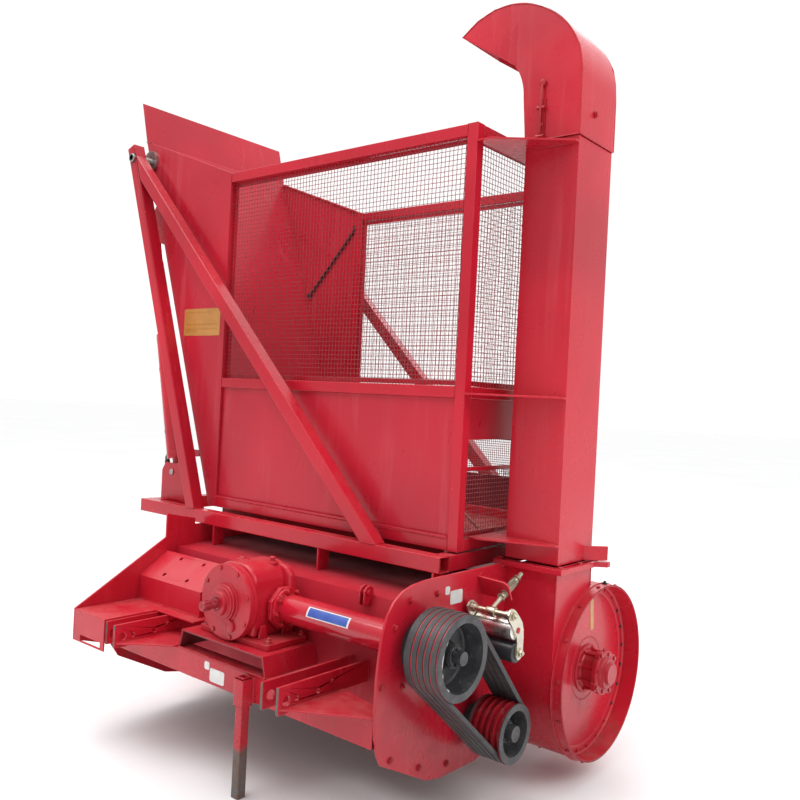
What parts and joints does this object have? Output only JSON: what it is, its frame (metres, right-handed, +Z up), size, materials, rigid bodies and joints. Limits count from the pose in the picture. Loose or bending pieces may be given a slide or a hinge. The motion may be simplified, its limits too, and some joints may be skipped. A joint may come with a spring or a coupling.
{
  "type": "tractor-mounted straw chopper with side-tipping collection bin",
  "caption": "Rear-mounted straw chopper with gearbox drive, belt-driven flail rotor, blower and duct that fills a mesh bin, which tips sideways on hydraulic cylinders.",
  "frame": {"origin": "on the ground, under the middle of the machine's bounding box", "axes": "+Z up, +X towards the belt drive and blower, -Y towards the tractor"},
  "size_m": [2.301, 1.633, 2.6564],
  "materials": {
    "red_paint": "gloss",
    "cast_red": "semi-gloss over casting",
    "mesh_wire": "satin",
    "bare_steel": "turned",
    "zinc": "yellow zinc plating",
    "dark_iron": "satin",
    "black_rubber": "matt",
    "tyre_rubber": "matt"
  },
  "bodies": {
    "root": {"side_plate_left": "red_paint", "side_plate_right": "red_paint", "hood": "red_paint", "auger_trough": "red_paint", "mast_seat": "red_paint", "hitch_wing": "red_paint", "front_beam": "red_paint", "hitch_bracket_left": "red_paint", "hitch_bracket_right": "red_paint", "gearbox_seat": "red_paint", "gearbox": "cast_red", "gearbox_cover": "cast_red", "cross_tube": "red_paint", "drive_belts": "black_rubber", "bearings": "dark_iron", "tensioner_bracket": "red_paint", "tensioner_rollers": "zinc", "drive_guard": "red_paint", "fan_casing": "red_paint", "fan_cover": "red_paint", "outlet_collar": "red_paint", "base_beams": "red_paint", "base_members": "red_paint", "frame_supports": "red_paint", "tip_posts": "red_paint", "tip_braces": "red_paint", "wheel_brackets": "red_paint", "cylinder_feet": "red_paint"},
    "parking_leg": {"parking_leg": "red_paint"},
    "pto": {"pto_shaft": "bare_steel"},
    "cross_shaft": {"drive_pulley": "dark_iron"},
    "rotor": {"rotor_drum": "dark_iron", "flails": "dark_iron", "rotor_pulley": "dark_iron"},
    "wheel_left": {"wheel_rim_left": "red_paint", "tyre_left": "tyre_rubber"},
    "wheel_right": {"wheel_rim_right": "red_paint", "tyre_right": "tyre_rubber"},
    "bin": {"bin_posts": "red_paint", "bin_rails": "red_paint", "bin_side_rails": "red_paint", "bin_front_panel": "red_paint", "bin_back_panel": "red_paint", "bin_right_panel": "red_paint", "bin_floor": "red_paint", "bin_left_wall": "red_paint", "bin_flap": "red_paint", "bin_gussets": "red_paint", "bin_mesh": "mesh_wire", "pivot_pins": "bare_steel", "duct": "red_paint", "elbow": "red_paint", "duct_brackets": "red_paint", "cylinder_clevises": "red_paint"},
    "barrel_front": {"cylinder_barrel_front": "red_paint"},
    "rod_front": {"cylinder_rod_front": "bare_steel"},
    "barrel_rear": {"cylinder_barrel_rear": "red_paint"},
    "rod_rear": {"cylinder_rod_rear": "bare_steel"}
  },
  "joints": [
    {"name": "bin_tip", "type": "hinge", "parent": "root", "child": "bin", "pos_m": [-1.0655, 0.2465, 2.33], "axis": [0, -1, 0], "range_deg": [0, 90]},
    {"name": "leg_slide", "type": "slide", "parent": "root", "child": "parking_leg", "axis": [0, 0, 1], "range_m": [0, 0.25]},
    {"name": "rotor_spin", "type": "hinge", "parent": "root", "child": "rotor", "pos_m": [0.2095, -0.1805, 0.261], "axis": [1, 0, 0], "continuous": true},
    {"name": "cross_shaft_spin", "type": "hinge", "parent": "root", "child": "cross_shaft", "pos_m": [0.9895, -0.4855, 0.558], "axis": [1, 0, 0], "continuous": true},
    {"name": "pto_spin", "type": "hinge", "parent": "root", "child": "pto", "pos_m": [0.1975, -0.6935, 0.577], "axis": [0, -1, 0], "continuous": true},
    {"name": "wheel_left_spin", "type": "hinge", "parent": "root", "child": "wheel_left", "pos_m": [-0.2705, 0.6565, 0.16], "axis": [1, 0, 0], "continuous": true},
    {"name": "wheel_right_spin", "type": "hinge", "parent": "root", "child": "wheel_right", "pos_m": [0.6895, 0.6565, 0.16], "axis": [1, 0, 0], "continuous": true},
    {"name": "barrel_front_swing", "type": "hinge", "parent": "root", "child": "barrel_front", "pos_m": [-0.7905, -0.1435, 0.9], "axis": [0, -1, 0], "range_deg": [-16.07, 1]},
    {"name": "rod_front_slide", "type": "slide", "parent": "barrel_front", "child": "rod_front", "axis": [-0.2297, 0, 0.9733], "range_m": [-0.001, 0.3052]},
    {"name": "barrel_rear_swing", "type": "hinge", "parent": "root", "child": "barrel_rear", "pos_m": [-0.7905, 0.6365, 0.9], "axis": [0, -1, 0], "range_deg": [-16.07, 1]},
    {"name": "rod_rear_slide", "type": "slide", "parent": "barrel_rear", "child": "rod_rear", "axis": [-0.2297, 0, 0.9733], "range_m": [-0.001, 0.3052]}
  ],
  "couplings": [
    {"joint": "cross_shaft_spin", "follows": "rotor_spin", "ratio": 0.75},
    {"joint": "pto_spin", "follows": "rotor_spin", "ratio": 0.25},
    {"joint": "barrel_front_swing", "follows": "bin_tip", "ratio": -0.16741},
    {"joint": "rod_front_slide", "follows": "bin_tip", "m_per_rad": 0.19302},
    {"joint": "barrel_rear_swing", "follows": "bin_tip", "ratio": -0.16741},
    {"joint": "rod_rear_slide", "follows": "bin_tip", "m_per_rad": 0.19302}
  ]
}
